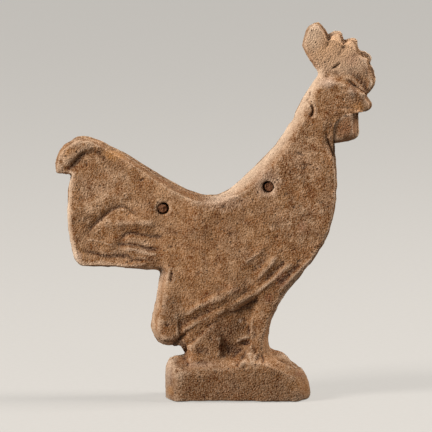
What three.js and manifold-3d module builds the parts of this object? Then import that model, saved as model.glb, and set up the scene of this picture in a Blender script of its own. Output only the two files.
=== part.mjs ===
// Rooster figurine in fired clay, pressed in a two-piece mould.
// The clay was pressed into a right and a left mould, the two hollow halves were joined with slip along their
// rims, wattle pads were pressed on under the beak, and two iron pins were set through the flanks.
// Units are millimetres. +X points to the beak, +Z points up, and the right flank faces -Y. The origin lies
// on the standing surface, under the middle of the figure.
import * as THREE from "three";
import { mergeVertices } from "three/addons/utils/BufferGeometryUtils.js";
import Module from "manifold-3d";

const wasm = await Module();
wasm.setup();

// Plinth
const PLINTH_LENGTH = 57.2; // heel to toe, along X
const PLINTH_HEIGHT = 16.4; // standing surface to the top at the heel
const PLINTH_DEPTH = 35; // right face to left face
const PLINTH_TOP_DEPTH = 11; // flat part of its top and ends, between the worn edges
const PLINTH_HEEL_X = -19.5; // place of the heel end
const PLINTH_ROUNDING = 5; // how far the worn edges roll over

// Places that the outlines are drawn from: X and height above the plinth
const TAIL_PLACE = [-40, 60.5];
const BODY_PLACE = [10, 40];
const NECK_PLACE = [36, 82];
const HEAD_PLACE = [50, 104];

// Thickness of the finished figure from right to left, at the fullest point of each form
const BODY_DEPTH = 32;
const SADDLE_DEPTH = 26.5;
const BREAST_DEPTH = 29;
const NECK_ROOT_DEPTH = 26;
const NECK_DEPTH = 23.4;
const HEAD_DEPTH = 18.5;
const BEAK_DEPTH = 13;
const COMB_DEPTH = 11;
const WATTLE_DEPTH = 19.6;
const TAIL_DEPTH = 14;
const TAIL_ROOT_DEPTH = 19;
const THIGH_DEPTH = 24;
const FRONT_SHANK_DEPTH = 26.5;
const REAR_SHANK_DEPTH = 25.5;
const WEB_DEPTH = 24.5; // between and beside the shanks
const SHANK_FOOT = 9; // how far the shanks run down inside the plinth
const RIM_DEPTH = 4.4; // across the joint at the outline, where the two moulds met

// Pressed clay
const WALL = 6.5; // thickness of the pressed clay around the hollow
const SLIP_THICKNESS = 1; // layer of slip between the two halves
const MOULD_TURN = 0.4; // degrees that the left half leans towards the beak against the right one
const COMB_GROWTH = 0.1; // share by which the left half's scallops stand out further than the right half's
const COMB_ROOT = 5; // they stand out from here, along X from the place of the head
const WATTLE_GAP = 0.3; // clearance of a pressed-on wattle pad to the throat

// Iron pins
const PIN_HOLE_DIAMETER = 4.4;
const PIN_CLEARANCE = 0.35; // radial, between the pin and its hole
const PIN_RECESS = 0.7; // how far the pin ends lie below the clay
const SHOULDER_PIN_PLACE = [11.1, 28]; // along X and Z, from the place of the body
const TAIL_PIN_PLACE = [-30.3, 19.3];

// Modelled lines
const GROOVE_DEPTH = 0.8;
const GROOVE_WIDTH = 1.7; // from the middle of a groove to its shoulder
const RIDGE_HEIGHT = 0.7;
const RIDGE_WIDTH = 1.9;
const HOLLOW_DEPTH = 1.2; // thumbed hollows between the shanks
const HOLLOW_WIDTH = 3.2;
const EYE_PLACE = [2.3, 1.1]; // from the place of the head
const EYE_RADIUS = 1.9;
const EYE_HEIGHT = 0.7;

// Fineness of the faceted surface
const FACET = 2.2;
const HOLLOW_FACET = 4.2;
const OUTLINE_STEPS = 2; // straight steps between two outline points
const PIN_SIDES = 24;

// Forms that meet run into each other over this distance
const BLEND = 1.4;

// Moves points that are drawn from a place, up onto the plinth
const from = ([placeX, placeZ], points) =>
  points.map(([x, z]) => [x + placeX, z + placeZ + PLINTH_HEIGHT]);

// Outlines are stretches of smooth curve that meet in corners, given as the points that they pass through.
function drawOutline(stretches) {
  const [[start, ...rest], ...others] = stretches;
  const shape = new THREE.Shape();
  shape.moveTo(...start);
  for (const stretch of [rest, ...others]) {
    shape.splineThru(stretch.map(([x, z]) => new THREE.Vector2(x, z)));
  }
  return shape;
}

// Tail, back, neck, head, throat, breast, belly and thigh
const tailCurl = from(TAIL_PLACE, [
  [-16.8, 11.6],
  [-20, 11.9],
  [-22.6, 12.2],
]);
const tailTop = from(TAIL_PLACE, [
  [-23.2, 16],
  [-21.5, 21.7],
  [-17.2, 25],
  [-13.5, 26.6],
  [-8.5, 25.7],
  [0, 22.4],
  [11.8, 15.3],
]);
const back = from(BODY_PLACE, [
  [-26.8, 28.7],
  [-17.4, 24.7],
  [-11, 24],
  [-4, 26.6],
]);
const nape = from(NECK_PLACE, [
  [-19.6, -5.7],
  [-10.9, 3.7],
  [-5.4, 13.2],
]);
const crown = from(HEAD_PLACE, [
  [-14.1, 1],
  [-9.8, 7.6],
  [-4, 8.4],
  [2.5, 6.4],
  [7.2, 2.6],
  [9.8, -1.2],
]);
const beak = from(HEAD_PLACE, [
  [11.6, -3.9],
  [10.2, -6.3],
  [5.8, -7],
]);
const throat = from(HEAD_PLACE, [
  [0, -8],
  [-3.6, -12.5],
  [-3, -20.6],
]);
const breast = from(BODY_PLACE, [
  [37.2, 38.8],
  [37.9, 30],
  [37.3, 20],
  [34.5, 8.6],
  [26.9, -4.2],
  [18.7, -13.8],
  [13.9, -21.4],
]);
const belly = from(BODY_PLACE, [
  [7, -20],
  [4, -16.5],
  [0, -19.3],
  [-10, -25.6],
  [-18, -30.2],
  [-24, -34.4],
]);
const thigh = from(BODY_PLACE, [
  [-26.8, -35.7],
  [-31.8, -34.7],
  [-34.8, -30],
  [-35, -24.6],
  [-33.5, -18.5],
  [-31.7, -6],
]);
const tailUnder = from(TAIL_PLACE, [
  [2.7, -25.3],
  [-10.5, -24.3],
  [-14.3, -21.6],
  [-17.4, -14.4],
  [-18.3, -5.4],
  [-18.1, 3],
  [-17.7, 8],
  [-16.8, 11.6],
]);
const trunkShape = drawOutline([
  tailCurl,
  [...tailTop, ...back, ...nape, ...crown],
  beak,
  throat,
  breast,
  belly,
  thigh,
  tailUnder,
]);

// Comb: a tall first point, then four scallops down to the beak
function combOutline(growth) {
  const scallop = (points) => points.map(([x, z]) => [x + growth * (x - COMB_ROOT), z + growth * z]);
  return drawOutline(
    [
      [
        [-5, 5],
        [-9.2, 8.4],
        [-12.3, 12.2],
        [-14.9, 18.4],
        [-13.5, 24.8],
        [-10.2, 28.3],
        [-7.4, 26.2],
        ...scallop([[-4.9, 21.4]]),
      ],
      scallop([
        [-1.6, 23.2],
        [0, 22.6],
        [1.1, 19.6],
      ]),
      scallop([
        [4.3, 20.9],
        [5.7, 19.4],
        [6, 16.4],
      ]),
      scallop([
        [8.6, 14.9],
        [10.7, 13.2],
        [10.6, 10.6],
      ]),
      [...scallop([[11.4, 7]]), [11.8, 3.4], [10.6, 1]],
      [
        [6, -2],
        [-4, -1],
        [-5, 5],
      ],
    ].map((stretch) => from(HEAD_PLACE, stretch)),
  );
}
const rightComb = combOutline(0);
const leftComb = combOutline(COMB_GROWTH);

// Wattle, from inside the cheek down beside the throat; the pad is the part of it outside the throat
const wattleShape = drawOutline(
  [
    [
      [-8, -9],
      [-3, -4.8],
      [5.8, -5],
    ],
    [
      [6, -11.5],
      [5.9, -16],
      [3.6, -18],
      [-3, -19.3],
    ],
    [
      [-8, -17],
      [-9, -13],
      [-8, -9],
    ],
  ].map((stretch) => from(HEAD_PLACE, stretch)),
);

// Web of clay from inside the belly down into the plinth, with the shanks standing out from it
const shankFoot = PLINTH_HEIGHT - SHANK_FOOT;
const frontOfShank = [
  [21.4, PLINTH_HEIGHT + 4],
  ...from(BODY_PLACE, [
    [11.1, -31],
    [12.6, -24.4],
    [17, -16.6],
  ]),
];
const rearOfShank = [
  ...from(BODY_PLACE, [[-23.2, -34.4]]),
  [-11.9, PLINTH_HEIGHT + 2],
  [-12, shankFoot],
];
const webShape = drawOutline([
  from(BODY_PLACE, [
    [-16, -27],
    [-20, -31],
  ]),
  rearOfShank,
  [[24, shankFoot]],
  frontOfShank,
  from(BODY_PLACE, [
    [0, -14],
    [-16, -27],
  ]),
]);
const frontShankShape = drawOutline([
  [[10, shankFoot], [26, shankFoot]],
  frontOfShank,
  from(BODY_PLACE, [
    [8, -12],
    [4.4, -20],
    [4.3, -27],
    [4, -33],
  ]),
  [[10, shankFoot]],
]);
const rearShankShape = drawOutline([
  from(BODY_PLACE, [
    [-16, -27],
    [-20, -31],
  ]),
  rearOfShank,
  [[3, shankFoot]],
  [
    [2.2, PLINTH_HEIGHT + 3],
    ...from(BODY_PLACE, [
      [-7.8, -29],
      [-8, -22],
    ]),
  ],
  from(BODY_PLACE, [[-16, -27]]),
]);

// Plinth with the worn toes of the front foot over its end; it runs on below the standing surface, where it
// is cut flat
const plinthToe = PLINTH_HEEL_X + PLINTH_LENGTH;
const plinthShape = drawOutline([
  [
    [PLINTH_HEEL_X, -PLINTH_HEIGHT],
    [PLINTH_HEEL_X, PLINTH_HEIGHT - 5],
  ],
  [
    [PLINTH_HEEL_X + 1.3, PLINTH_HEIGHT - 1],
    [PLINTH_HEEL_X + 5, PLINTH_HEIGHT],
  ],
  [
    [PLINTH_HEEL_X + 12, PLINTH_HEIGHT + 0.5],
    [plinthToe - 21, PLINTH_HEIGHT + 3.6],
    [plinthToe - 14.5, PLINTH_HEIGHT + 2.6],
  ],
  [
    [plinthToe - 10, PLINTH_HEIGHT + 0.9],
    [plinthToe - 7.4, PLINTH_HEIGHT - 1.2],
  ],
  [
    [plinthToe - 4.6, PLINTH_HEIGHT - 3.2],
    [plinthToe - 2.8, PLINTH_HEIGHT - 5.6],
  ],
  [
    [plinthToe - 0.8, PLINTH_HEIGHT - 10],
    [plinthToe, PLINTH_HEIGHT - 14.5],
    [plinthToe - 0.6, 0],
  ],
  [[plinthToe - 1, -PLINTH_HEIGHT]],
  [[PLINTH_HEEL_X, -PLINTH_HEIGHT]],
]);

// Core of clay left out of the two halves, inside the body and the neck
const hollowShape = drawOutline([
  [
    ...from(BODY_PLACE, [
      [-31, 18],
      [-30, 9],
      [-24, -8],
      [-14, -17],
      [2, -15],
      [18, -2],
      [29, 14],
      [31, 30],
    ]),
    ...from(NECK_PLACE, [
      [5, 8],
      [4, 16],
      [-1, 15],
      [-7, -1],
      [-17, -16],
    ]),
    ...from(BODY_PLACE, [
      [-10, 15],
      [-22, 18],
      [-31, 18],
    ]),
  ],
]);

// Forms in relief

// Signed distance to a closed outline, positive inside
function distanceInside(shape) {
  const points = shape.getPoints(OUTLINE_STEPS);
  return (x, z) => {
    let nearest = Infinity;
    let inside = false;
    points.forEach((a, i) => {
      const b = points[(i + 1) % points.length];
      nearest = Math.min(nearest, distanceToSegment(x, z, a, b));
      if (a.y > z !== b.y > z && x < ((b.x - a.x) * (z - a.y)) / (b.y - a.y) + a.x) inside = !inside;
    });
    return inside ? nearest : -nearest;
  };
}

function distanceToSegment(x, z, a, b) {
  const runX = b.x - a.x;
  const runZ = b.y - a.y;
  const length = runX * runX + runZ * runZ || 1;
  const share = THREE.MathUtils.clamp(((x - a.x) * runX + (z - a.y) * runZ) / length, 0, 1);
  return Math.hypot(x - a.x - share * runX, z - a.y - share * runZ);
}

// Depth and edge rounding between stations, each weighted by its nearness
function blendStations(stations) {
  const softness = 4;
  const sharpness = 3;
  return (x, z) => {
    let total = 0;
    const blended = { depth: 0, rounding: 0 };
    for (const { at, depth, rounding } of stations) {
      const weight = (Math.hypot(x - at[0], z - at[1]) + softness) ** -sharpness;
      total += weight;
      blended.depth += weight * depth;
      blended.rounding += weight * rounding;
    }
    return { depth: blended.depth / total, rounding: blended.rounding / total };
  };
}

const station = (place, [x, z], thickness, rounding) => ({
  at: from(place, [[x, z]])[0],
  depth: thickness / 2,
  rounding,
});

const trunkForm = {
  inside: distanceInside(trunkShape),
  rim: RIM_DEPTH / 2,
  swell: blendStations([
    station(TAIL_PLACE, [-19, 19], TAIL_DEPTH, 2.8),
    station(TAIL_PLACE, [0, 17], TAIL_DEPTH, 2.8),
    station(TAIL_PLACE, [-8, -6], TAIL_DEPTH, 2.2),
    station(TAIL_PLACE, [15, -9], TAIL_ROOT_DEPTH, 3.6),
    station(BODY_PLACE, [-12, 14], SADDLE_DEPTH, 5),
    station(BODY_PLACE, [0, -4], BODY_DEPTH, 5),
    station(BODY_PLACE, [30, 16], BREAST_DEPTH, 2.2),
    station(BODY_PLACE, [16, -4], BREAST_DEPTH, 2.8),
    station(BODY_PLACE, [-28, -26], THIGH_DEPTH, 3),
    station(NECK_PLACE, [-12, -6], NECK_ROOT_DEPTH, 5),
    station(NECK_PLACE, [8, -4], NECK_ROOT_DEPTH, 2.2),
    station(NECK_PLACE, [-4, 10], NECK_DEPTH, 4.8),
    station(NECK_PLACE, [9, 10], NECK_DEPTH, 2.2),
    station(HEAD_PLACE, [-8, 2], HEAD_DEPTH, 4.4),
    station(HEAD_PLACE, [3, -2], HEAD_DEPTH, 2.4),
    station(HEAD_PLACE, [10, -3.5], BEAK_DEPTH, 2.2),
  ]),
};
const evenForm = (shape, thickness, rounding, rimThickness = RIM_DEPTH) => ({
  inside: distanceInside(shape),
  rim: rimThickness / 2,
  swell: () => ({ depth: thickness / 2, rounding }),
});
const rightCombForm = evenForm(rightComb, COMB_DEPTH, 1.8);
const leftCombForm = evenForm(leftComb, COMB_DEPTH, 1.8);
const wattleForm = evenForm(wattleShape, WATTLE_DEPTH, 2);
const webForm = evenForm(webShape, WEB_DEPTH, 2.4);
const frontShankForm = evenForm(frontShankShape, FRONT_SHANK_DEPTH, 2.2);
const rearShankForm = evenForm(rearShankShape, REAR_SHANK_DEPTH, 2.6);
const plinthForm = evenForm(plinthShape, PLINTH_DEPTH, PLINTH_ROUNDING, PLINTH_TOP_DEPTH);

// Height of one form over the joint plane: it rolls over from the rim to the full depth, and falls away at
// the same slope outside its outline
function formHeight(form, x, z) {
  const inside = form.inside(x, z);
  const { depth, rounding } = form.swell(x, z);
  const roll = ((Math.PI / 2) * inside) / rounding;
  return form.rim + (depth - form.rim) * (roll < 0 ? roll : Math.sin(Math.min(roll, Math.PI / 2)));
}

const smoothMax = (a, b) => (a + b + Math.hypot(a - b, BLEND)) / 2;

// Feather grooves and ridges, drawn through the soft clay
const line = (place, points, height, width) => ({
  points: from(place, points).map(([x, z]) => new THREE.Vector2(x, z)),
  height,
  width,
});
const groove = (place, points) => line(place, points, -GROOVE_DEPTH, GROOVE_WIDTH);
const ridge = (place, points) => line(place, points, RIDGE_HEIGHT, RIDGE_WIDTH);

const tailCrescent = groove(TAIL_PLACE, [
  [-18.5, 14.6],
  [-12.2, 20.3],
  [-8.6, 21.4],
  [-4, 18.4],
]);
const tailFeathers = [
  [
    [-9.6, -9.6],
    [-5.6, -6.4],
    [-2, -3.1],
    [4.1, -1.2],
    [9, -2.2],
  ],
  [
    [2.5, -14.6],
    [5.5, -11.5],
    [9.5, -11.6],
    [18.6, -12.6],
  ],
  [
    [-11.6, -18.4],
    [-2.4, -20.6],
    [3.2, -20.4],
    [17.8, -22.9],
  ],
  [
    [2.5, -16.4],
    [10, -17],
    [17, -18],
  ],
].map((points) => groove(TAIL_PLACE, points));
const tailQuills = [
  [
    [-15, -4.8],
    [-6.6, 1.7],
    [-1.4, 4],
    [4.5, 4.6],
  ],
  [
    [-2, -7.5],
    [4.5, -6.5],
    [16, -5.9],
  ],
].map((points) => ridge(TAIL_PLACE, points));

const breastFeathers = [
  [
    [-24, -29.5],
    [-15.3, -25.7],
    [-9.2, -22.3],
    [-3.8, -19.4],
    [4.4, -15.3],
    [8, -12.9],
  ],
  [
    [-24.6, -23.3],
    [-13.7, -17.7],
    [-4.1, -11.9],
    [0.8, -11.1],
  ],
  [
    [6.7, -8.4],
    [10.5, -4.1],
    [14.1, 0.2],
  ],
  [
    [10, -11.2],
    [16, -6],
    [20.2, -2.9],
  ],
  [
    [12.7, -13.7],
    [20, -8.7],
    [26.1, -2.6],
  ],
].map((points) => ridge(BODY_PLACE, points));

const thighCrease = groove(BODY_PLACE, [
  [-23.2, -24.8],
  [-23, -28.3],
  [-23.6, -32.3],
]);

// Hollows pressed with a thumb beside the front shank
const hollows = [
  [
    [1.2, -21.8],
    [1.4, -27.6],
  ],
  [
    [-5.6, -35],
    [-0.5, -36.2],
  ],
].map((points) => line(BODY_PLACE, points, -HOLLOW_DEPTH, HOLLOW_WIDTH));

const toePlace = [plinthToe - 16, 0];
const toes = [
  [
    [1, 1.1],
    [6, -0.1],
    [8, -1.5],
  ],
  [
    [-1, -1.5],
    [7, -4.1],
    [12.2, -7.1],
  ],
].map((points) => ridge(toePlace, points));

const lines = [
  tailCrescent,
  ...tailFeathers,
  ...tailQuills,
  ...breastFeathers,
  thighCrease,
  ...hollows,
  ...toes,
];

function lineHeight({ points, height, width }, x, z) {
  let nearest = Infinity;
  for (let i = 1; i < points.length; i += 1) {
    nearest = Math.min(nearest, distanceToSegment(x, z, points[i - 1], points[i]));
  }
  return height * Math.exp(-((nearest / width) ** 2));
}

// Height of the moulded surface of each half over the joint plane
const sharedForms = [trunkForm, wattleForm, webForm, rearShankForm, frontShankForm, plinthForm];
const mouldHeight = (combForm) => (x, z) =>
  [combForm, ...sharedForms].map((form) => formHeight(form, x, z)).reduce(smoothMax) +
  lines.reduce((sum, each) => sum + lineHeight(each, x, z), 0);
const hollowHeight = (x, z) => formHeight(trunkForm, x, z) - WALL;

// The left half leans about the middle of the plinth; share is the part of the whole turn
const plinthMiddle = PLINTH_HEEL_X + PLINTH_LENGTH / 2;
const leanBy = (share) => THREE.MathUtils.degToRad(MOULD_TURN * share);
function leaned([x, z], lean) {
  const run = x - plinthMiddle;
  return [
    plinthMiddle + run * Math.cos(lean) + z * Math.sin(lean),
    z * Math.cos(lean) - run * Math.sin(lean),
  ];
}

const sides = {
  right: { side: -1, lean: leanBy(0), comb: rightComb, height: mouldHeight(rightCombForm) },
  left: { side: 1, lean: leanBy(1), comb: leftComb, height: mouldHeight(leftCombForm) },
};
const surfaceOf = ({ lean, height }) => (x, z) => height(...leaned([x, z], -lean));

// Solids

function solid(geometry) {
  geometry.deleteAttribute("normal");
  geometry.deleteAttribute("uv");
  const merged = mergeVertices(geometry);
  return new wasm.Manifold(
    new wasm.Mesh({
      numProp: 3,
      vertProperties: merged.attributes.position.array,
      triVerts: new Uint32Array(merged.index.array),
    }),
  );
}

const join = (solids) => solids.reduce((whole, next) => whole.add(next));

// Straight-sided block under an outline, from y = near to y = far, leaned with its half
function prism(shape, near, far, lean = 0) {
  const geometry = new THREE.ExtrudeGeometry(shape, {
    depth: far - near,
    bevelEnabled: false,
    curveSegments: OUTLINE_STEPS,
  });
  geometry.rotateX(Math.PI / 2);
  geometry.translate(-plinthMiddle, far, 0);
  geometry.rotateY(lean);
  geometry.translate(plinthMiddle, 0, 0);
  return solid(geometry);
}

// Each cell of the raised grid is folded along the diagonal that lies closer to the height field
function foldAlongForms(geometry, height, side) {
  const { position } = geometry.attributes;
  const { index } = geometry;
  const corner = (i) => new THREE.Vector3().fromBufferAttribute(position, i);
  for (let i = 0; i < index.count; i += 6) {
    const [a, b, d, , c] = index.array.slice(i, i + 6);
    const middle = corner(a).add(corner(c)).divideScalar(2);
    const across = corner(b).add(corner(d)).divideScalar(2);
    const wanted = side * height(middle.x, middle.z);
    if (Math.abs(middle.y - wanted) < Math.abs(across.y - wanted)) index.array.set([a, b, c, a, c, d], i);
  }
}

// Block whose face on one side is raised to a height field; side is -1 for the right, and the block reaches
// past the joint plane
const MARGIN = 5;
const PAST_JOINT = 20;
const figureShapes = [trunkShape, leftComb, wattleShape, webShape, plinthShape];
const drawn = new THREE.Box2().setFromPoints(figureShapes.flatMap((shape) => shape.getPoints(OUTLINE_STEPS)));
const blockLength = drawn.max.x - drawn.min.x + 2 * MARGIN;
const blockMiddle = (drawn.max.x + drawn.min.x) / 2;
const blockHeight = drawn.max.y + MARGIN;

function reliefBlock(height, side, facet) {
  const across = Math.ceil(blockLength / facet);
  const up = Math.ceil(blockHeight / facet);
  const geometry = new THREE.BoxGeometry(blockLength, 2, blockHeight, across, 1, up);
  geometry.translate(blockMiddle, 0, blockHeight / 2);
  const position = geometry.attributes.position;
  for (let i = 0; i < position.count; i += 1) {
    const outer = Math.sign(position.getY(i)) === side;
    const rise = outer ? Math.max(height(position.getX(i), position.getZ(i)), 1 - PAST_JOINT) : -PAST_JOINT;
    position.setY(i, side * rise);
  }
  foldAlongForms(geometry, height, side);
  return solid(geometry);
}

function rod(diameter, [x, z], near, far) {
  const geometry = new THREE.CylinderGeometry(diameter / 2, diameter / 2, far - near, PIN_SIDES);
  geometry.translate(x, (near + far) / 2, z);
  return solid(geometry);
}

const jointFace = SLIP_THICKNESS / 2;
const mostDepth = Math.max(PLINTH_DEPTH, BODY_DEPTH) + 2 * RIDGE_HEIGHT;

const [shoulderPin, tailPin] = from(BODY_PLACE, [SHOULDER_PIN_PLACE, TAIL_PIN_PLACE]);
const pinHoles = join([shoulderPin, tailPin].map((at) => rod(PIN_HOLE_DIAMETER, at, -mostDepth, mostDepth)));
const core = prism(hollowShape, -mostDepth, mostDepth);

function silhouette(shapes, lean, near, far) {
  return join(shapes.map((shape) => prism(shape, near, far, lean)));
}

// The span of one half, from the joint face outwards
const spanOf = ({ side }) => (side < 0 ? [-mostDepth, -jointFace] : [jointFace, mostDepth]);

// One pressed half
function half(pressed) {
  const { side, lean, comb } = pressed;
  const outline = silhouette([trunkShape, comb, webShape, plinthShape], lean, ...spanOf(pressed));
  const moulded = outline.intersect(reliefBlock(surfaceOf(pressed), side, FACET));
  const hollow = core.intersect(reliefBlock(hollowHeight, side, HOLLOW_FACET));
  return moulded.add(eye(pressed)).subtract(hollow).subtract(pinHoles);
}

// Worn round eye
function eye(pressed) {
  const geometry = new THREE.SphereGeometry(EYE_RADIUS, 16, 8);
  const [x, z] = leaned(from(HEAD_PLACE, [EYE_PLACE])[0], pressed.lean);
  geometry.scale(1, EYE_HEIGHT / EYE_RADIUS, 1);
  geometry.translate(x, pressed.side * surfaceOf(pressed)(x, z), z);
  return solid(geometry);
}

// Pad pressed on under the beak: it carries on the surface of the cheek and stays clear of the throat
function wattle(pressed) {
  const { side, lean } = pressed;
  const pad = silhouette([wattleShape], lean, ...spanOf(pressed));
  const throatWall = silhouette([trunkShape], lean, ...spanOf(pressed));
  const clearance = throatWall
    .add(throatWall.translate([WATTLE_GAP, 0, 0]))
    .add(throatWall.translate([0, 0, -WATTLE_GAP]));
  return pad.intersect(reliefBlock(surfaceOf(pressed), side, FACET)).subtract(clearance);
}

// Layer of slip, squeezed out to an outline half-way between the two moulds
function slipSeam() {
  const outlines = [trunkShape, rightComb, wattleShape, webShape, plinthShape];
  const layer = silhouette(outlines, leanBy(0.5), -jointFace, jointFace);
  const standing = new THREE.BoxGeometry(blockLength, SLIP_THICKNESS, blockHeight);
  standing.translate(blockMiddle, 0, blockHeight / 2);
  return layer.intersect(solid(standing)).subtract(core).subtract(pinHoles);
}

// Iron pin through both flanks, its ends a little below the clay
function pin([x, z]) {
  const diameter = PIN_HOLE_DIAMETER - 2 * PIN_CLEARANCE;
  const right = surfaceOf(sides.right)(x, z) - PIN_RECESS;
  const left = surfaceOf(sides.left)(x, z) - PIN_RECESS;
  return rod(diameter, [x, z], -right, left);
}

// Scene graph

const terracotta = new THREE.MeshStandardMaterial({ color: 0x9c7a5a, roughness: 0.92, metalness: 0 });
const slip = new THREE.MeshStandardMaterial({ color: 0xb08b68, roughness: 0.95, metalness: 0 });
const reddened = new THREE.MeshStandardMaterial({ color: 0x8f6650, roughness: 0.92, metalness: 0 });
const rust = new THREE.MeshStandardMaterial({ color: 0x5a3826, roughness: 0.85, metalness: 0.1 });

function piece(name, manifold, material) {
  const { numProp, vertProperties, triVerts } = manifold.getMesh();
  const geometry = new THREE.BufferGeometry();
  geometry.setAttribute("position", new THREE.BufferAttribute(vertProperties, numProp));
  geometry.setIndex(new THREE.BufferAttribute(triVerts, 1));
  geometry.computeVertexNormals();
  const mesh = new THREE.Mesh(geometry, material);
  mesh.name = name;
  return mesh;
}

const rooster = new THREE.Group();
rooster.add(
  piece("right_half", half(sides.right), terracotta),
  piece("left_half", half(sides.left), terracotta),
  piece("slip_seam", slipSeam(), slip),
  piece("right_wattle", wattle(sides.right), reddened),
  piece("left_wattle", wattle(sides.left), reddened),
  piece("shoulder_pin", pin(shoulderPin), rust),
  piece("tail_pin", pin(tailPin), rust),
);

const box = new THREE.Box3().setFromObject(rooster);
rooster.position.x = -(box.min.x + box.max.x) / 2;

export default rooster;
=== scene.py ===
# %% [markdown]
# # A terracotta rooster
# The real figure was pressed in a two-piece mould. Two hollow halves of clay were joined with slip,
# wattle pads were pressed on, iron pins were set through the flanks, and burial wore the edges and left
# deposits in the hollows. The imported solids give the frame: every piece below starts from one of them
# and takes its place.

# %% Frame
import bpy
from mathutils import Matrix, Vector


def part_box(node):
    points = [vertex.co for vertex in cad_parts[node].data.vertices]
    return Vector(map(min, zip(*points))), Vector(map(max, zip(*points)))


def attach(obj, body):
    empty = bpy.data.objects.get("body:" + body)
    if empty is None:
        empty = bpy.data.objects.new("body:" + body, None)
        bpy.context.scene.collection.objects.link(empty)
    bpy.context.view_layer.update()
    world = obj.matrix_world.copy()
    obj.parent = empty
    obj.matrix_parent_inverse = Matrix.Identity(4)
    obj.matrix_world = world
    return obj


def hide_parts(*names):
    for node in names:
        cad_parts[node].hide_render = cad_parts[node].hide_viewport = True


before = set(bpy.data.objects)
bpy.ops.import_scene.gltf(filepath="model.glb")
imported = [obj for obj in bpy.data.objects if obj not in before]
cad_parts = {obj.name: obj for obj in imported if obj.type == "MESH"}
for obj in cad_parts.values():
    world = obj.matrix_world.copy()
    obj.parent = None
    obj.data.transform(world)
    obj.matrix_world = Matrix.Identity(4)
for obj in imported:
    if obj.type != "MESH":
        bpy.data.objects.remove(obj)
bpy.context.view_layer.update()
print("solids:", sorted(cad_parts))

# %% Tools
import math

import bmesh
import bpy
import numpy as np
from mathutils import Vector, noise
from mathutils.bvhtree import BVHTree
from mathutils.kdtree import KDTree

MM = 0.001
scene = bpy.context.scene
scene.view_settings.view_transform = "Standard"

# %% [markdown]
# ## Camera
# The photograph shows the right side square on, from a little above: the front edge of the plinth bends
# down by a few pixels in the middle, which gives about five degrees. A long lens far away keeps the
# picture almost parallel, as it is there.

# %% Camera
PICTURE_WIDTH = 170.7 * MM  # what the photograph's frame takes in, at the figure
CAMERA_ELEVATION = math.radians(5.0)
CAMERA_DISTANCE = 2.5
CAMERA_AIM = Vector((0.6, 0.0, 72.1)) * MM

towards_camera = Vector((0.0, -math.cos(CAMERA_ELEVATION), math.sin(CAMERA_ELEVATION)))
camera_data = bpy.data.cameras.new("camera")
camera_data.lens = camera_data.sensor_width * CAMERA_DISTANCE / PICTURE_WIDTH
camera = bpy.data.objects.new("camera", camera_data)
camera.location = CAMERA_AIM + CAMERA_DISTANCE * towards_camera
camera.rotation_euler = (math.pi / 2 - CAMERA_ELEVATION, 0.0, 0.0)
scene.collection.objects.link(camera)
scene.camera = camera
print(f"lens {camera_data.lens:.0f} mm")

# %% [markdown]
# ## Halves
# A pressed half has soft forms, and no edge on it is exact. The solid is made of flat facets, so a
# merged copy of it is remeshed into small even cells, and the facets are smoothed away. Its hollow is
# closed off first, because nobody sees it: every face that has clay above it, on the way out of the
# mould, is taken away. The flat face at the joint is left where it is, so that the rim keeps its
# outline, and is made one face again.

# %% Copies
JOINT_FACE = 0.5 * MM  # half the layer of slip
FACE_SLACK = 0.1 * MM
SKIN_DEPTH = 2.0 * MM  # least thickness of the clay over the hollow
SAME_SPOT, CLEAR = 0.001 * MM, 0.002 * MM
LOOKS_BACK = -0.05  # a face that turns away further than this looks at the joint
SIDES = {"right": -1, "left": 1}  # along Y


def merged_copy(node):
    """A closed bmesh of a solid, whose own mesh is loose triangles."""
    shell = bmesh.new()
    shell.from_mesh(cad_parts[node].data)
    bmesh.ops.remove_doubles(shell, verts=shell.verts, dist=SAME_SPOT)
    return shell


def clay_over(tree, face, side):
    """How thick the clay is that covers a face, on the way out of the mould."""
    outwards = Vector((0, side, 0))
    start = face.calc_center_median() - face.normal * CLEAR
    if side * face.normal.y > LOOKS_BACK:
        cover = tree.ray_cast(start + 2 * face.normal * CLEAR, outwards)[0]
        if cover is None:
            return 0.0
        start = cover + outwards * CLEAR
    return tree.ray_cast(start, outwards)[3] or 0.0


def in_joint(face):
    """Whether a face lies in the flat face at the joint."""
    return all(abs(v.co.y) < JOINT_FACE + FACE_SLACK for v in face.verts)


def close_openings(shell):
    """Fills every opening of a bmesh with a face."""
    open_edges = [e for e in shell.edges if e.is_boundary]
    return bmesh.ops.holes_fill(shell, edges=open_edges, sides=0)["faces"]


def outer_skin(node, side):
    """A merged copy of a half without its hollow."""
    shell = merged_copy(node)
    shell.normal_update()
    tree = BVHTree.FromBMesh(shell)
    hidden = [f for f in shell.faces if in_joint(f) or clay_over(tree, f, side) > SKIN_DEPTH]
    bmesh.ops.delete(shell, geom=hidden, context="FACES")
    closed = close_openings(shell)
    for pin_hole in sorted(closed, key=lambda f: len(f.verts))[:-1]:
        for v in pin_hole.verts:
            v.co.y = side * max(abs(v.co.y), SKIN_DEPTH)
    print(node, "closed off at", len(closed), "openings")
    return shell


def piece_from(shell, name):
    """An object at the origin with the mesh of a bmesh."""
    mesh = bpy.data.meshes.new(name)
    shell.to_mesh(mesh)
    shell.free()
    piece = bpy.data.objects.new(name, mesh)
    scene.collection.objects.link(piece)
    return piece


# %% Remeshing
def remeshed(shell, name, cell):
    """A piece with the shape of a bmesh, in even cells."""
    piece = piece_from(shell, name)
    remesh = piece.modifiers.new("cells", "REMESH")
    remesh.mode = "VOXEL"
    remesh.voxel_size = cell
    faceted = piece.data
    evaluated = piece.evaluated_get(bpy.context.evaluated_depsgraph_get())
    piece.data = bpy.data.meshes.new_from_object(evaluated)
    piece.modifiers.clear()
    bpy.data.meshes.remove(faceted)
    piece.data.name = name
    return piece


CRISP_ROUNDS = 5  # as many as the comb gets
COMB_FOOT = 129 * MM
ALL_AXES = {"use_axis_x": True, "use_axis_y": True, "use_axis_z": True}


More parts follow.
